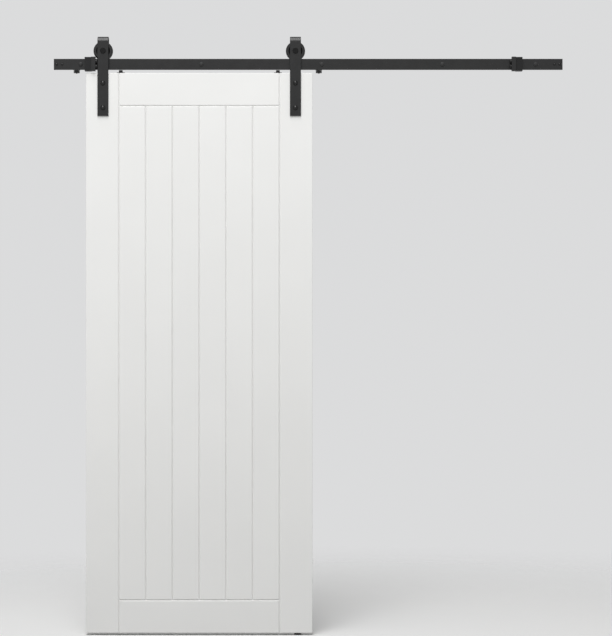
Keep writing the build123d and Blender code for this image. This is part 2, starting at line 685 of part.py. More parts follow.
def stop_block(face, away):
    """The proud block on the clamp's end that carries the buffers."""
    half = STOP_BLOCK_HEIGHT / 2
    x_ends = mirrored_span(face, 0, STOP_BLOCK_LENGTH, away)
    body = block(x_ends, (TRACK_FRONT_Y - STOP_BLOCK_PROUD, TRACK_FRONT_Y), (-half, half))
    body = chamfer(body.edges().filter_by(Axis.X), STOP_BLOCK_ARRIS)
    stud_x = mirrored_span(face, -OVERRUN, STOP_BLOCK_LENGTH + OVERRUN, away)
    for z in buffer_heights():
        body -= rod_along_x(BUFFER_STUD_RADIUS + SCREW_CLEAR, stud_x, STRAP_MID_Y, z)
    return body


def stop_buffers(face, away):
    """Two rubber buffers, each with the stud that ties block and clamp together."""
    tip = face - away * BUFFER_REACH
    buffers = []
    for z in buffer_heights():
        body = rod_along_x(BUFFER_RADIUS, mirrored_span(face, -BUFFER_REACH, 0, away), STRAP_MID_Y, z)
        rims = body.edges().filter_by(GeomType.CIRCLE)
        tip_rim = rims.sort_by(lambda rim: abs(rim.center().X - tip))[0]
        body = fillet(tip_rim, BUFFER_ROUND)
        stud_x = mirrored_span(face, 0, STOP_BLOCK_LENGTH + BUFFER_STUD_BITE, away)
        buffers.append(body + rod_along_x(BUFFER_STUD_RADIUS, stud_x, STRAP_MID_Y, z))
    return Compound(children=buffers)


def stop_set_screws(face, away):
    """Two socket set screws that press on the bar's back."""
    x_ends = mirrored_span(face, STOP_BLOCK_LENGTH, STOP_DEPTH, away)
    x = (x_ends[0] + x_ends[1]) / 2
    end_y = TRACK_BACK_Y + CLAMP_CLEAR + CLAMP_BACK
    screws = []
    for z in set_screw_heights():
        body = rod_along_y(SET_SCREW_RADIUS, (TRACK_BACK_Y, end_y), x, z)
        socket = (end_y - SET_SCREW_SOCKET_DEPTH, end_y + OVERRUN)
        screws.append(body - rod_along_y(SET_SCREW_SOCKET_RADIUS, socket, x, z))
    return Compound(children=screws)


def catch_places():
    """Each catch's place along the track, with the spacer beside it."""
    middle_bolt = BOLT_PLACES[len(BOLT_PLACES) // 2]
    return {
        "left": (BOLT_PLACES[0] - LEFT_CATCH_OFFSET, BOLT_PLACES[0]),
        "right": (middle_bolt - RIGHT_CATCH_OFFSET, middle_bolt),
    }


def angle_levels():
    """Heights of the angle's foot, the top of its foot and its top end."""
    foot = TRACK_BOTTOM_Z + ANGLE_LIFT
    return foot, foot + ANGLE_THICK, foot + ANGLE_RISE


def angle_x_ends(x, spacer_x):
    """The upright leg's ends along X, clear of the spacer, and the foot's ends."""
    foot_ends = (x - ANGLE_WIDTH / 2, x + ANGLE_WIDTH / 2)
    leg_right = min(foot_ends[1], spacer_x - SPACER_RADIUS - ANGLE_SPACER_GAP)
    return (foot_ends[0], leg_right), foot_ends


def angle_screw_place(x, spacer_x):
    """Where the screw holds the angle to the bar, as x and z."""
    leg_ends = angle_x_ends(x, spacer_x)[0]
    top_z = angle_levels()[2]
    return (leg_ends[0] + leg_ends[1]) / 2, top_z - ANGLE_SCREW_EDGE


def catch_bracket(x, spacer_x):
    """A small folded angle: an upright leg on the bar's back and a foot that carries the cap nut."""
    foot_z, foot_top, top_z = angle_levels()
    leg_ends, foot_ends = angle_x_ends(x, spacer_x)
    leg_y = TRACK_BACK_Y + ANGLE_THICK
    foot = block(foot_ends, (TRACK_BACK_Y, -CATCH_WALL_GAP), (foot_z, foot_top))
    body = foot + block(foot_ends, (TRACK_BACK_Y, leg_y), (foot_z, top_z))
    inner_corner = body.edges().filter_by(Axis.X).sort_by_distance((x, leg_y, foot_top))[0]
    body = fillet(inner_corner, ANGLE_BEND)
    outer_corner = body.edges().filter_by(Axis.X).sort_by_distance((x, TRACK_BACK_Y, foot_z))[0]
    body = fillet(outer_corner, ANGLE_THICK + ANGLE_BEND)
    if leg_ends[1] < foot_ends[1]:
        relief_y = (TRACK_BACK_Y - OVERRUN, leg_y + ANGLE_BEND + OVERRUN)
        body -= block((leg_ends[1], foot_ends[1] + OVERRUN), relief_y, (foot_top, top_z + OVERRUN))
    hole = CATCH_SCREW_RADIUS + SCREW_CLEAR
    body -= rod_along_z(hole, (foot_z - OVERRUN, foot_top + OVERRUN), x, CATCH_Y)
    screw_x, screw_z = angle_screw_place(x, spacer_x)
    y_ends = (TRACK_BACK_Y - OVERRUN, leg_y + OVERRUN)
    return body - rod_along_y(hole, y_ends, screw_x, screw_z)


def catch_levels():
    """Heights of the cap nut's nib, the foot of its hexagon and its top, which meets the stud's collar."""
    nib = LEAF_TOP_Z + CATCH_LEAF_CLEAR
    return nib, nib + CATCH_NIB_REACH, angle_levels()[0] - CATCH_COLLAR_THICK


def catch_button(x):
    """The cap nut under the angle: a hexagon with a rounded nib, bored from above for the stud."""
    nib_z, foot, top = catch_levels()
    section = RegularPolygon(CATCH_WIDTH / 2, 6, major_radius=False)
    prism = Pos(x, CATCH_Y, foot) * extrude(section, top - foot, dir=(0, 0, 1))
    end_edges = prism.edges().group_by(Axis.Z)
    body = chamfer(end_edges[0] + end_edges[-1], CATCH_ARRIS)
    nib = rod_along_z(CATCH_NIB_RADIUS, (nib_z, foot), x, CATCH_Y)
    tip_rim = nib.edges().filter_by(GeomType.CIRCLE).sort_by(Axis.Z)[0]
    body += fillet(tip_rim, CATCH_NIB_ROUND)
    bore = CATCH_SCREW_RADIUS + SCREW_CLEAR
    return body - rod_along_z(bore, (top - CATCH_STUD_BITE - SCREW_CLEAR, top + OVERRUN), x, CATCH_Y)


def catch_screws(x, spacer_x):
    """The collared stud from the angle down into the cap nut, and the screw that holds the angle."""
    head = domed_head(CATCH_SCREW_HEAD_RADIUS, CATCH_SCREW_HEAD_RIM, CATCH_SCREW_HEAD_RISE)
    foot_z, foot_top = angle_levels()[:2]
    collar_z = catch_levels()[2]
    stud = rod_along_z(CATCH_SCREW_RADIUS, (collar_z - CATCH_STUD_BITE, foot_top), x, CATCH_Y)
    stud += rod_along_z(CATCH_COLLAR_RADIUS, (collar_z, foot_z), x, CATCH_Y)
    stud += Pos(x, CATCH_Y, foot_top) * Rot(-90, 0, 0) * head
    screw_x, screw_z = angle_screw_place(x, spacer_x)
    seat_y = TRACK_BACK_Y + ANGLE_THICK
    y_ends = (TRACK_BACK_Y - ANGLE_SCREW_BITE, seat_y)
    angle_screw = rod_along_y(CATCH_SCREW_RADIUS, y_ends, screw_x, screw_z)
    angle_screw += Pos(screw_x, seat_y, screw_z) * Rot(0, 0, 180) * head
    return Compound(children=[stud, angle_screw])


def lift_stop(x):
    """A flanged stub on the leaf's top edge that keeps the wheels from jumping off the bar."""
    top = TRACK_BOTTOM_Z - LIFT_STOP_TRACK_CLEAR
    straight = LIFT_BASE_LENGTH - LIFT_BASE_WIDTH
    base_outline = SlotCenterToCenter(straight, LIFT_BASE_WIDTH)
    base = Pos(x, WHEEL_Y, LEAF_TOP_Z) * extrude(base_outline, LIFT_BASE_THICK, dir=(0, 0, 1))
    stub = rod_along_z(LIFT_STOP_RADIUS, (LEAF_TOP_Z, top), x, WHEEL_Y)
    hole = LIFT_SCREW_RADIUS + SCREW_CLEAR
    head = LIFT_SCREW_HEAD_RADIUS + SCREW_CLEAR
    sink = turned_about_z(
        [
            (0, LEAF_TOP_Z - OVERRUN),
            (hole, LEAF_TOP_Z - OVERRUN),
            (hole, top - LIFT_SCREW_HEAD_DEPTH),
            (head, top),
            (head, top + OVERRUN),
            (0, top + OVERRUN),
        ],
        x,
        WHEEL_Y,
    )
    return base + stub - sink


def lift_stop_screw(x):
    """The countersunk screw that holds a lift stop."""
    top = TRACK_BOTTOM_Z - LIFT_STOP_TRACK_CLEAR
    end = LEAF_TOP_Z - LIFT_SCREW_BITE
    return turned_about_z(
        [
            (0, end),
            (LIFT_SCREW_RADIUS, end + LIFT_SCREW_RADIUS),
            (LIFT_SCREW_RADIUS, top - LIFT_SCREW_HEAD_DEPTH),
            (LIFT_SCREW_HEAD_RADIUS, top),
            (0, top),
        ],
        x,
        WHEEL_Y,
    )


def floor_guide(x):
    """The turned guide: a flat round foot and a pin in the leaf's groove."""
    foot_top = FLOOR_Z + GUIDE_FOOT_HEIGHT
    pin_top = LEAF_BOTTOM_Z + GUIDE_GROOVE_DEPTH - GUIDE_PIN_END_CLEAR
    hole = GUIDE_SCREW_RADIUS + SCREW_CLEAR
    head = GUIDE_SCREW_HEAD_RADIUS + SCREW_CLEAR
    body = turned_about_z(
        [
            (hole, FLOOR_Z),
            (GUIDE_FOOT_RADIUS, FLOOR_Z),
            (GUIDE_FOOT_RADIUS, foot_top),
            (GUIDE_PIN_RADIUS, foot_top),
            (GUIDE_PIN_RADIUS, pin_top - GUIDE_PIN_CHAMFER),
            (GUIDE_PIN_RADIUS - GUIDE_PIN_CHAMFER, pin_top),
            (head, pin_top),
            (hole, pin_top - GUIDE_SCREW_HEAD_DEPTH),
        ],
        x,
        LEAF_MID_Y,
    )
    rims = body.edges().filter_by(GeomType.CIRCLE)
    foot_rims = rims.filter_by(lambda rim: abs(rim.radius - GUIDE_FOOT_RADIUS) < OVERRUN)
    return fillet(foot_rims.sort_by(Axis.Z)[-1], GUIDE_FOOT_ROUND)


def floor_guide_screw(x):
    """The countersunk screw through the guide and out below its foot."""
    pin_top = LEAF_BOTTOM_Z + GUIDE_GROOVE_DEPTH - GUIDE_PIN_END_CLEAR
    end = FLOOR_Z - GUIDE_SCREW_REACH
    return turned_about_z(
        [
            (0, end),
            (GUIDE_SCREW_RADIUS, end + GUIDE_SCREW_POINT),
            (GUIDE_SCREW_RADIUS, pin_top - GUIDE_SCREW_HEAD_DEPTH),
            (GUIDE_SCREW_HEAD_RADIUS, pin_top),
            (0, pin_top),
        ],
        x,
        LEAF_MID_Y,
    )


def track_pieces():
    """Everything that stays still while the leaf slides."""
    pieces = {"track_bar": track_bar(), "wall_bolts": wall_bolts(), "end_screws": end_screws()}
    for index, x in enumerate(BOLT_PLACES):
        pieces[f"spacer_{index + 1}"] = spacer(x)
    for side, face, away in (("left", LEFT_STOP_FACE, -1), ("right", RIGHT_STOP_FACE, 1)):
        pieces[f"{side}_stop_clamp"] = stop_clamp(face, away)
        pieces[f"{side}_stop_block"] = stop_block(face, away)
        pieces[f"{side}_stop_buffers"] = stop_buffers(face, away)
        pieces[f"{side}_stop_set_screws"] = stop_set_screws(face, away)
    for side, (x, spacer_x) in catch_places().items():
        pieces[f"{side}_catch_bracket"] = catch_bracket(x, spacer_x)
        pieces[f"{side}_catch_button"] = catch_button(x)
        pieces[f"{side}_catch_screws"] = catch_screws(x, spacer_x)
    pieces["floor_guide"] = floor_guide(GUIDE_X)
    pieces["floor_guide_screw"] = floor_guide_screw(GUIDE_X)
    return pieces


def hanger_pieces(side, x):
    """One hanger with its axle, wheel and fasteners."""
    bolt, nut, ring, bushes = axle_set(x)
    return {
        f"{side}_strap": strap(x),
        f"{side}_strap_bolts": strap_bolts(x),
        f"{side}_sleeve_nuts": sleeve_nuts(x),
        f"{side}_axle_bolt": bolt,
        f"{side}_axle_nut": nut,
        f"{side}_inner_ring": ring,
        f"{side}_axle_bushes": bushes,
        f"{side}_wheel_rim": wheel_rim(x),
        f"{side}_outer_ring": outer_ring(x),
    }


def main():
    pieces = {**leaf(), **track_pieces()}
    for side, x in HANGERS.items():
        pieces.update(hanger_pieces(side, x))
    for side, x in LIFT_STOP_PLACES.items():
        pieces[f"{side}_lift_stop"] = lift_stop(x)
        pieces[f"{side}_lift_stop_screw"] = lift_stop_screw(x)
    os.makedirs("parts", exist_ok=True)
    for name, piece in pieces.items():
        export_step(piece, f"parts/{name}.step")
    print(f"{len(pieces)} pieces, slide travel {SLIDE_TRAVEL:.1f} mm")


main()
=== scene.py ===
"""Finishes, screw threads, light and camera for a painted sliding door on a black steel track."""

import json
from math import pi, radians

import bmesh
import bpy
from mathutils import Matrix, Vector


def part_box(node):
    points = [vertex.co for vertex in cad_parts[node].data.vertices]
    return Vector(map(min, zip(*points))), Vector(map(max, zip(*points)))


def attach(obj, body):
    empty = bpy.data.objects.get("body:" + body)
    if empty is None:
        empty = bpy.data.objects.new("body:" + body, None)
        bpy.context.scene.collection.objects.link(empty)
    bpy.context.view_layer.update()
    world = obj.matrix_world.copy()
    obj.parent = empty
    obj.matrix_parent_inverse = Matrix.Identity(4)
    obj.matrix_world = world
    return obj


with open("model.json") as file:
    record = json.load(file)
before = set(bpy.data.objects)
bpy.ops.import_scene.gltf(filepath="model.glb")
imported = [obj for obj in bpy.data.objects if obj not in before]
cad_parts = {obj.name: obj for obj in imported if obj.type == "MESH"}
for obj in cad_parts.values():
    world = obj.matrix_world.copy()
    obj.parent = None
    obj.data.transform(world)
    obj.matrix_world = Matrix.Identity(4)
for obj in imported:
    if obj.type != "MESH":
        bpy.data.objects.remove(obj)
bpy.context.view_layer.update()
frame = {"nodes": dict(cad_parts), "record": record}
NODES = frame["nodes"]
SLOTS = {part["node"]: part["material_slot"] for part in frame["record"]["subparts"]}

# Screw threads, in metres
WALL_THREAD_ROOT = 0.0033
WALL_THREAD_CREST = 0.0040
WALL_THREAD_PITCH = 0.0036
WALL_THREAD_LEAD_IN = 0.002
WALL_BOLT_POINT = 0.008
FLOOR_THREAD_ROOT = 0.0024
FLOOR_THREAD_CREST = 0.0028
FLOOR_THREAD_PITCH = 0.0022
FLOOR_THREAD_LEAD_IN = 0.002
FLOOR_SCREW_POINT = 0.005
THREAD_STEPS = 20
THREAD_BASE_SHARE = 0.55
MERGE_DISTANCE = 0.000001

# White paint on the leaf; patches, spacings and depths in metres, pairs from low to high
PAINT_TONES = ((0.850, 0.849, 0.838, 1.0), (0.875, 0.874, 0.863, 1.0))
PAINT_TONE_PATCH = 0.35
PAINT_ROUGHNESS = (0.40, 0.52)
PAINT_GLOSS_PATCH = 0.06
UPRIGHT_FIBRE = (0.0011, 0.0011, 0.09)
LEVEL_FIBRE = (0.09, 0.0011, 0.0011)
FIBRE_DEPTH = 0.00015
FIBRE_STRENGTH = 0.3
STIPPLE_SPACING = 0.0016
STIPPLE_DEPTH = 0.00007
STIPPLE_STRENGTH = 0.35
MEMBER_SEED_STEP = 7.3

# Noise behind every relief and drift; most of its values lie in the range
RELIEF_DETAIL = 3.0
DRIFT_DETAIL = 2.0
DRIFT_NOISE_RANGE = (0.3, 0.7)

# Floor: the first tone is seen, the second throws back soft light
FLOOR_RADIUS = 3.4
FLOOR_FADE_START = 0.9
FLOOR_SEGMENTS = 96
FLOOR_TONE = (0.86, 0.86, 0.855, 1.0)
FLOOR_BOUNCE_TONE = (0.31, 0.31, 0.307, 1.0)
FLOOR_ROUGHNESS = (0.55, 0.65)
FLOOR_GLOSS_PATCH = 0.5

# Studio: the backdrop as it is seen, soft light by direction, and one large lamp high in front
BACKDROP_TONE = (0.71, 0.713, 0.718, 1.0)
FRONT_TONE = (0.58, 0.583, 0.578, 1.0)
REAR_TONE = (1.03, 1.033, 1.028, 1.0)
OVERHEAD_TONE = (0.02, 0.02, 0.02, 1.0)
KEY_PLACE = (-1.3, -5.1, 6.1)
KEY_TARGET = (-1.2, -2.2, 0.0)
KEY_LENGTH = 3.8
KEY_DEPTH = 9.7
KEY_POWER = 740.0

# Colour sockets of a mix node, which share their names with its sockets of other kinds
MIX_FIRST_TONE = 6
MIX_SECOND_TONE = 7
MIX_TONE = 2

# Camera, level and square to the leaf
CAMERA_PLACE = (-0.008, -8.5475, -0.925)
CAMERA_LENS = 132.1
CAMERA_SENSOR = 36.0
CAMERA_REACH = 100.0


def shader_group(name, inputs, output):
    """An empty node group with named inputs and one output; returns it with its inner ends."""
    group = bpy.data.node_groups.new(name, "ShaderNodeTree")
    for label, kind, value in inputs:
        socket = group.interface.new_socket(label, in_out="INPUT", socket_type=kind)
        socket.default_value = value
    group.interface.new_socket(output, in_out="OUTPUT", socket_type="NodeSocketFloat")
    return group, group.nodes.new("NodeGroupInput"), group.nodes.new("NodeGroupOutput")


def noise_from(group, vector, detail):
    """A noise texture in a group, read along a vector that already carries the scale."""
    noise = group.nodes.new("ShaderNodeTexNoise")
    noise.noise_dimensions = "4D"
    noise.inputs["Scale"].default_value = 1.0
    noise.inputs["Detail"].default_value = detail
    group.links.new(vector, noise.inputs["Vector"])
    return noise


def stretched_place(group, inside):
    """The place on the piece, counted in units of the group's spacing along each axis."""
    place = group.nodes.new("ShaderNodeTexCoord")
    divide = group.nodes.new("ShaderNodeVectorMath")
    divide.operation = "DIVIDE"
    group.links.new(place.outputs["Object"], divide.inputs[0])
    group.links.new(inside.outputs["Spacing"], divide.inputs[1])
    return divide.outputs["Vector"]


def relief_group():
    """Raised and sunk texture: stipple with an even spacing, wood fibre with a long one."""
    group, inside, result = shader_group(
        "surface_relief",
        [("Spacing", "NodeSocketVector", (0.001, 0.001, 0.001)), ("Seed", "NodeSocketFloat", 0.0)],
        "Height",
    )
    noise = noise_from(group, stretched_place(group, inside), RELIEF_DETAIL)
    group.links.new(inside.outputs["Seed"], noise.inputs["W"])
    group.links.new(noise.outputs["Fac"], result.inputs["Height"])
    return group


def drift_group():
    """A slow change over the surface between two values, for tone and gloss."""
    group, inside, result = shader_group(
        "surface_drift",
        [
            ("Spacing", "NodeSocketVector", (0.1, 0.1, 0.1)),
            ("Seed", "NodeSocketFloat", 0.0),
            ("Low", "NodeSocketFloat", 0.0),
            ("High", "NodeSocketFloat", 1.0),
        ],
        "Value",
    )
    noise = noise_from(group, stretched_place(group, inside), DRIFT_DETAIL)
    group.links.new(inside.outputs["Seed"], noise.inputs["W"])
    spread = group.nodes.new("ShaderNodeMapRange")
    spread.inputs["From Min"].default_value = DRIFT_NOISE_RANGE[0]
    spread.inputs["From Max"].default_value = DRIFT_NOISE_RANGE[1]
    group.links.new(noise.outputs["Fac"], spread.inputs["Value"])
    group.links.new(inside.outputs["Low"], spread.inputs["To Min"])
    group.links.new(inside.outputs["High"], spread.inputs["To Max"])
    group.links.new(spread.outputs["Result"], result.inputs["Value"])
    return group


RELIEF = relief_group()
DRIFT = drift_group()


def new_finish(name):
    """A material with one shader; returns the material, its tree and the shader."""
    material = bpy.data.materials.new(name)
    material.use_nodes = True
    tree = material.node_tree
    tree.nodes.clear()
    shader = tree.nodes.new("ShaderNodeBsdfPrincipled")
    surface = tree.nodes.new("ShaderNodeOutputMaterial")
    tree.links.new(shader.outputs["BSDF"], surface.inputs["Surface"])
    return material, tree, shader


def drift(tree, spacing, low, high, seed=0.0):
    """Places the drift group in a material and returns its value."""
    node = tree.nodes.new("ShaderNodeGroup")
    node.node_tree = DRIFT
    node.inputs["Spacing"].default_value = spacing
    node.inputs["Seed"].default_value = seed
    node.inputs["Low"].default_value = low
    node.inputs["High"].default_value = high
    return node.outputs["Value"]


def relief(tree, spacing, depth, strength, seed=0.0, under=None):
    """Places the relief group behind a bump of some depth and returns the bump's normal."""
    node = tree.nodes.new("ShaderNodeGroup")
    node.node_tree = RELIEF
    node.inputs["Spacing"].default_value = spacing
    node.inputs["Seed"].default_value = seed
    bump = tree.nodes.new("ShaderNodeBump")
    bump.inputs["Distance"].default_value = depth
    bump.inputs["Strength"].default_value = strength
    tree.links.new(node.outputs["Height"], bump.inputs["Height"])
    if under is not None:
        tree.links.new(under, bump.inputs["Normal"])
    return bump.outputs["Normal"]


def tone_blend(tree, share):
    """A node that goes from its first tone to its second as the share goes from 0 to 1."""
    blend = tree.nodes.new("ShaderNodeMix")
    blend.data_type = "RGBA"
    tree.links.new(share, blend.inputs["Factor"])
    return blend


def tone_between(tree, shader, dark, light, share):
    """Sends a blend of two tones to the shader's colour."""
    blend = tone_blend(tree, share)
    blend.inputs[MIX_FIRST_TONE].default_value = dark
    blend.inputs[MIX_SECOND_TONE].default_value = light
    tree.links.new(blend.outputs[MIX_TONE], shader.inputs["Base Color"])


def even(spacing):
    """The same spacing along all three axes."""
    return (spacing, spacing, spacing)


def white_paint(member, fibre_spacing, seed):
    """Sprayed white paint on a wooden member, with faint fibre under a fine stipple."""
    material, tree, shader = new_finish(f"white_paint_{member}")
    tone_between(tree, shader, *PAINT_TONES, drift(tree, even(PAINT_TONE_PATCH), 0.0, 1.0, seed))
    gloss = drift(tree, even(PAINT_GLOSS_PATCH), *PAINT_ROUGHNESS, seed)
    tree.links.new(gloss, shader.inputs["Roughness"])
    fibre = relief(tree, fibre_spacing, FIBRE_DEPTH, FIBRE_STRENGTH, seed)
    stipple = relief(tree, even(STIPPLE_SPACING), STIPPLE_DEPTH, STIPPLE_STRENGTH, seed, fibre)
    tree.links.new(stipple, shader.inputs["Normal"])
    return material


def hardware_finish(
    name,
    tones,
    tone_patch,
    roughness,
    gloss_patch,
    grain,
    grain_depth,
    grain_strength,
    specular,
    metallic=0.0,
):
    """A finish whose tone and gloss drift in patches over a fine relief; pairs run from low to high."""
    material, tree, shader = new_finish(name)
    shader.inputs["Specular IOR Level"].default_value = specular
    shader.inputs["Metallic"].default_value = metallic
    tone_between(tree, shader, *tones, drift(tree, even(tone_patch), 0.0, 1.0))
    tree.links.new(drift(tree, even(gloss_patch), *roughness), shader.inputs["Roughness"])
    tree.links.new(relief(tree, grain, grain_depth, grain_strength), shader.inputs["Normal"])
    return material


def black_powder_coat():
    """Matt black powder coat with a fine pebbled skin."""
    return hardware_finish(
        "black_powder_coat",
        tones=((0.005, 0.005, 0.0052, 1.0), (0.0075, 0.0075, 0.0077, 1.0)),
        tone_patch=0.012,
        roughness=(0.30, 0.36),
        gloss_patch=0.03,
        grain=even(0.0007),
        grain_depth=0.00004,
        grain_strength=0.12,
        specular=0.48,
    )


def dull_powder_coat():
    """The same coat on the wall bolts, handled and duller."""
    return hardware_finish(
        "dull_powder_coat",
        tones=((0.020, 0.020, 0.0203, 1.0), (0.025, 0.025, 0.0254, 1.0)),
        tone_patch=0.012,
        roughness=(0.54, 0.62),
        gloss_patch=0.03,
        grain=even(0.0007),
        grain_depth=0.00004,
        grain_strength=0.12,
        specular=0.3,
    )


def black_fastener():
    """Black plated bolt heads, smoother than the bar they hold."""
    return hardware_finish(
        "black_fastener",
        tones=((0.001, 0.001, 0.0011, 1.0), (0.002, 0.002, 0.0021, 1.0)),
        tone_patch=0.004,
        roughness=(0.14, 0.19),
        gloss_patch=0.003,
        grain=even(0.0005),
        grain_depth=0.00002,
        grain_strength=0.1,
        specular=0.42,
    )


def blackened_steel_and_clamp_shade():
    """Machined steel with a dark black skin on the sleeve nuts; on the stop clamps its darker tone is
    painted shade from the proud stop block.
    """
    return hardware_finish(
        "blackened_steel_and_clamp_shade",
        tones=((0.005, 0.005, 0.0053, 1.0), (0.008, 0.008, 0.0083, 1.0)),
        tone_patch=0.006,
        roughness=(0.34, 0.42),
        gloss_patch=0.008,
        grain=(0.004, 0.0004, 0.004),
        grain_depth=0.00003,
        grain_strength=0.25,
        specular=0.3,
    )


def axle_steel_painted_shade():
    """Blackened steel of the axle bolts and their nuts, made darker and duller than the straps as painted
    shade on the axle heads.
    """
    return hardware_finish(
        "axle_steel_painted_shade",
        tones=((0.004, 0.004, 0.0042, 1.0), (0.006, 0.006, 0.0062, 1.0)),
        tone_patch=0.006,
        roughness=(0.42, 0.50),
        gloss_patch=0.008,
        grain=even(0.0006),
        grain_depth=0.00003,
        grain_strength=0.2,
        specular=0.16,
    )


def satin_steel():
    """Bare turned steel with fine tool marks."""
    return hardware_finish(
        "satin_steel",
        tones=((0.46, 0.46, 0.465, 1.0), (0.58, 0.58, 0.585, 1.0)),
        tone_patch=0.004,
        roughness=(0.24, 0.38),
        gloss_patch=0.006,
        grain=(0.004, 0.0003, 0.004),
        grain_depth=0.00004,
        grain_strength=0.3,
        specular=0.5,
        metallic=1.0,
    )


def moulded_plastic():
    """Matt black moulded plastic with a spark-eroded grain."""
    return hardware_finish(
        "moulded_plastic",
        tones=((0.004, 0.004, 0.0042, 1.0), (0.007, 0.007, 0.0072, 1.0)),
        tone_patch=0.008,
        roughness=(0.46, 0.6),
        gloss_patch=0.01,
        grain=even(0.0004),
        grain_depth=0.00005,
        grain_strength=0.4,
        specular=0.35,
    )


def buffer_rubber():
    """Dull black rubber with a faint bloom."""
    return hardware_finish(
        "buffer_rubber",
        tones=((0.003, 0.003, 0.003, 1.0), (0.007, 0.007, 0.0069, 1.0)),
        tone_patch=0.005,
        roughness=(0.42, 0.54),
        gloss_patch=0.006,
        grain=even(0.0006),
        grain_depth=0.00006,
        grain_strength=0.4,
        specular=0.3,
    )


def dress(piece, material):
    """Gives a piece one material in place of whatever it has."""
    piece.data.materials.clear()
    piece.data.materials.append(material)


def dress_frame():
    """Dresses each solid in its slot's finish, some black steel in its own; returns the slots' finishes."""
    fastener = black_fastener()
    axle_painted_shade = axle_steel_painted_shade()
    blackened_and_clamp_shade = blackened_steel_and_clamp_shade()
    # Black steel that isn't coated like the bar, by the end of the piece's name; the axle and stop-clamp
    # finishes are darker as painted shade
    finish_by_ending = {
        "end_screws": fastener,
        "strap_bolts": fastener,
        "catch_button": fastener,
        "wall_bolts": dull_powder_coat(),
        # The axle bolts and nuts get a darker finish as painted shade on the axle heads
        "axle_bolt": axle_painted_shade,
        "axle_nut": axle_painted_shade,
        "sleeve_nuts": blackened_and_clamp_shade,
        # The stop clamps get this darker finish as painted shade, standing in for the shade the stop block
        # casts on them
        "stop_clamp": blackened_and_clamp_shade,
    }
    finishes = {
        "black_steel": black_powder_coat(),
        "bare_steel": satin_steel(),
        "black_plastic": moulded_plastic(),
        "black_rubber": buffer_rubber(),
    }
    wooden = sorted(name for name, slot in SLOTS.items() if slot == "painted_wood")
    for number, name in enumerate(wooden):
        fibre_spacing = LEVEL_FIBRE if name.endswith("rail") else UPRIGHT_FIBRE
        dress(NODES[name], white_paint(name, fibre_spacing, number * MEMBER_SEED_STEP))
    for name, slot in SLOTS.items():
        if name in wooden:
            continue
        finish = finishes[slot]
        for ending, other_finish in finish_by_ending.items():
            if slot == "black_steel" and name.endswith(ending):
                finish = other_finish
        dress(NODES[name], finish)
    return finishes


def new_piece(name, mesh_builder, material):
    """An object at the origin whose mesh a bmesh function has built in place."""
    shape = bmesh.new()
    mesh_builder(shape)
    bmesh.ops.remove_doubles(shape, verts=shape.verts, dist=MERGE_DISTANCE)
    bmesh.ops.recalc_face_normals(shape, faces=shape.faces)
    mesh = bpy.data.meshes.new(name)
    shape.to_mesh(mesh)
    shape.free()
    piece = bpy.data.objects.new(name, mesh)
    bpy.context.scene.collection.objects.link(piece)
    mesh.materials.append(material)
    return piece


def thread_ridge(shape, start, axis, root, crest, pitch, length):
    """One screw thread: a three-sided section wound along an axis from its start point."""
    side = axis.orthogonal().normalized()
    half_base = axis * (pitch * THREAD_BASE_SHARE / 2)
    foot = start + side * root
    corners = [foot - half_base, start + side * crest, foot + half_base]
    section = [shape.verts.new(corner) for corner in corners]
    face = shape.faces.new(section)
    turns = length / pitch
    steps = round(turns * THREAD_STEPS)
    bmesh.ops.spin(
        shape,
        geom=[face] + list(face.edges) + section,
        cent=start,
        axis=axis,
        dvec=axis * (length / steps),
        angle=turns * 2 * pi,
        steps=steps,
        use_merge=False,
    )


def wall_bolt_threads(shape):
    """Coarse threads on the wall bolts, from behind the spacers to where each point begins."""
    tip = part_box("wall_bolts")[1].y
    spacers = sorted(name for name in NODES if name.startswith("spacer_"))
    for name in spacers:
        low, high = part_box(name)
        middle = (low + high) / 2
        start = Vector((middle.x, high.y + WALL_THREAD_LEAD_IN, middle.z))
        length = tip - WALL_BOLT_POINT - WALL_THREAD_LEAD_IN - start.y
        thread_ridge(
            shape, start, Vector((0, 1, 0)), WALL_THREAD_ROOT, WALL_THREAD_CREST, WALL_THREAD_PITCH, length
        )


def floor_screw_thread(shape):
    """The thread of the screw under the floor guide."""
    low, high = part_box("floor_guide_screw")
    foot_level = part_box("floor_guide")[0].z
    middle = (low + high) / 2
    start = Vector((middle.x, middle.y, foot_level - FLOOR_THREAD_LEAD_IN))
    length = start.z - low.z - FLOOR_SCREW_POINT
    thread_ridge(
        shape, start, Vector((0, 0, -1)), FLOOR_THREAD_ROOT, FLOOR_THREAD_CREST, FLOOR_THREAD_PITCH, length
    )


def add_threads(finishes):
    """The two thread pieces, fixed with the track."""
    for name, builder, slot in (
        ("wall_bolt_threads", wall_bolt_threads, "black_steel"),
        ("floor_screw_thread", floor_screw_thread, "bare_steel"),
    ):
        piece = new_piece(name, builder, finishes[slot])
        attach(piece, "track")


def seen_directly(tree):
    """1 for rays from the camera, from gloss or through glass, and 0 for soft light."""
    path = tree.nodes.new("ShaderNodeLightPath")
    either = tree.nodes.new("ShaderNodeMath")
    either.operation = "MAXIMUM"
    tree.links.new(path.outputs["Is Camera Ray"], either.inputs[0])
    tree.links.new(path.outputs["Is Glossy Ray"], either.inputs[1])
    any_of_three = tree.nodes.new("ShaderNodeMath")
    any_of_three.operation = "MAXIMUM"
    tree.links.new(either.outputs["Value"], any_of_three.inputs[0])
    tree.links.new(path.outputs["Is Transmission Ray"], any_of_three.inputs[1])
    return any_of_three.outputs["Value"]


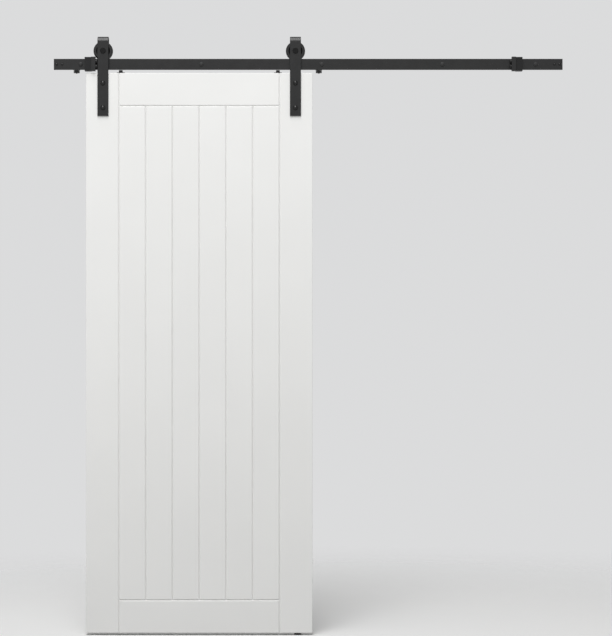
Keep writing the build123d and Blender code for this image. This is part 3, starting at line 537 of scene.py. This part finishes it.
def floor_finish():
    """Pale floor that fades out towards its rim and throws back less light than it shows."""
    material, tree, shader = new_finish("pale_floor")
    tone_between(tree, shader, FLOOR_BOUNCE_TONE, FLOOR_TONE, seen_directly(tree))
    gloss = drift(tree, even(FLOOR_GLOSS_PATCH), *FLOOR_ROUGHNESS)
    tree.links.new(gloss, shader.inputs["Roughness"])
    place = tree.nodes.new("ShaderNodeTexCoord")
    flat = tree.nodes.new("ShaderNodeVectorMath")
    flat.operation = "MULTIPLY"
    flat.inputs[1].default_value = (1.0, 1.0, 0.0)
    tree.links.new(place.outputs["Object"], flat.inputs[0])
    reach = tree.nodes.new("ShaderNodeVectorMath")
    reach.operation = "LENGTH"
    tree.links.new(flat.outputs["Vector"], reach.inputs[0])
    fade = tree.nodes.new("ShaderNodeMapRange")
    fade.interpolation_type = "SMOOTHSTEP"
    fade.inputs["From Min"].default_value = FLOOR_FADE_START
    fade.inputs["From Max"].default_value = FLOOR_RADIUS
    tree.links.new(reach.outputs["Value"], fade.inputs["Value"])
    clear = tree.nodes.new("ShaderNodeBsdfTransparent")
    blend = tree.nodes.new("ShaderNodeMixShader")
    tree.links.new(fade.outputs["Result"], blend.inputs["Fac"])
    tree.links.new(shader.outputs["BSDF"], blend.inputs[1])
    tree.links.new(clear.outputs["BSDF"], blend.inputs[2])
    surface = next(node for node in tree.nodes if node.type == "OUTPUT_MATERIAL")
    tree.links.new(blend.outputs["Shader"], surface.inputs["Surface"])
    return material


def floor_disc(shape):
    """A round floor under the guide's foot, centred below the track."""
    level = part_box("floor_guide")[0].z
    bmesh.ops.create_circle(
        shape,
        cap_ends=True,
        radius=FLOOR_RADIUS,
        segments=FLOOR_SEGMENTS,
        matrix=Matrix.Translation((0, 0, level)),
    )


def direction_share(tree, direction, low, high):
    """0 to 1 as one part of a direction goes from a low to a high value."""
    share = tree.nodes.new("ShaderNodeMapRange")
    share.inputs["From Min"].default_value = low
    share.inputs["From Max"].default_value = high
    tree.links.new(direction, share.inputs["Value"])
    return share.outputs["Result"]


def studio_world():
    """Soft light, weaker from the front and above, where the lamp is; a pale tone where it is seen."""
    world = bpy.data.worlds.new("studio")
    bpy.context.scene.world = world
    world.use_nodes = True
    tree = world.node_tree
    tree.nodes.clear()
    direction = tree.nodes.new("ShaderNodeTexCoord")
    split = tree.nodes.new("ShaderNodeSeparateXYZ")
    tree.links.new(direction.outputs["Generated"], split.inputs["Vector"])
    sides = tone_blend(tree, direction_share(tree, split.outputs["Y"], -1.0, 1.0))
    sides.inputs[MIX_FIRST_TONE].default_value = FRONT_TONE
    sides.inputs[MIX_SECOND_TONE].default_value = REAR_TONE
    sky = tone_blend(tree, direction_share(tree, split.outputs["Z"], 0.0, 1.0))
    tree.links.new(sides.outputs[MIX_TONE], sky.inputs[MIX_FIRST_TONE])
    sky.inputs[MIX_SECOND_TONE].default_value = OVERHEAD_TONE
    choice = tone_blend(tree, seen_directly(tree))
    tree.links.new(sky.outputs[MIX_TONE], choice.inputs[MIX_FIRST_TONE])
    choice.inputs[MIX_SECOND_TONE].default_value = BACKDROP_TONE
    background = tree.nodes.new("ShaderNodeBackground")
    tree.links.new(choice.outputs[MIX_TONE], background.inputs["Color"])
    surface = tree.nodes.new("ShaderNodeOutputWorld")
    tree.links.new(background.outputs["Background"], surface.inputs["Surface"])


def soft_lamp(name, place, target, length, depth, power):
    """A large flat lamp that faces its target."""
    lamp = bpy.data.lights.new(name, "AREA")
    lamp.shape = "RECTANGLE"
    lamp.size = length
    lamp.size_y = depth
    lamp.energy = power
    stand = bpy.data.objects.new(name, lamp)
    aim = Vector(target) - Vector(place)
    stand.location = place
    stand.rotation_euler = aim.to_track_quat("-Z", "Y").to_euler()
    bpy.context.scene.collection.objects.link(stand)


def front_camera():
    """A long lens square to the leaf."""
    camera = bpy.data.cameras.new("camera")
    camera.lens = CAMERA_LENS
    camera.sensor_width = CAMERA_SENSOR
    camera.clip_end = CAMERA_REACH
    stand = bpy.data.objects.new("camera", camera)
    stand.location = CAMERA_PLACE
    stand.rotation_euler = (radians(90), 0, 0)
    bpy.context.scene.collection.objects.link(stand)
    bpy.context.scene.camera = stand


bpy.context.scene.view_settings.view_transform = "Standard"
add_threads(dress_frame())
new_piece("floor", floor_disc, floor_finish())
studio_world()
soft_lamp("key_lamp", KEY_PLACE, KEY_TARGET, KEY_LENGTH, KEY_DEPTH, KEY_POWER)
front_camera()
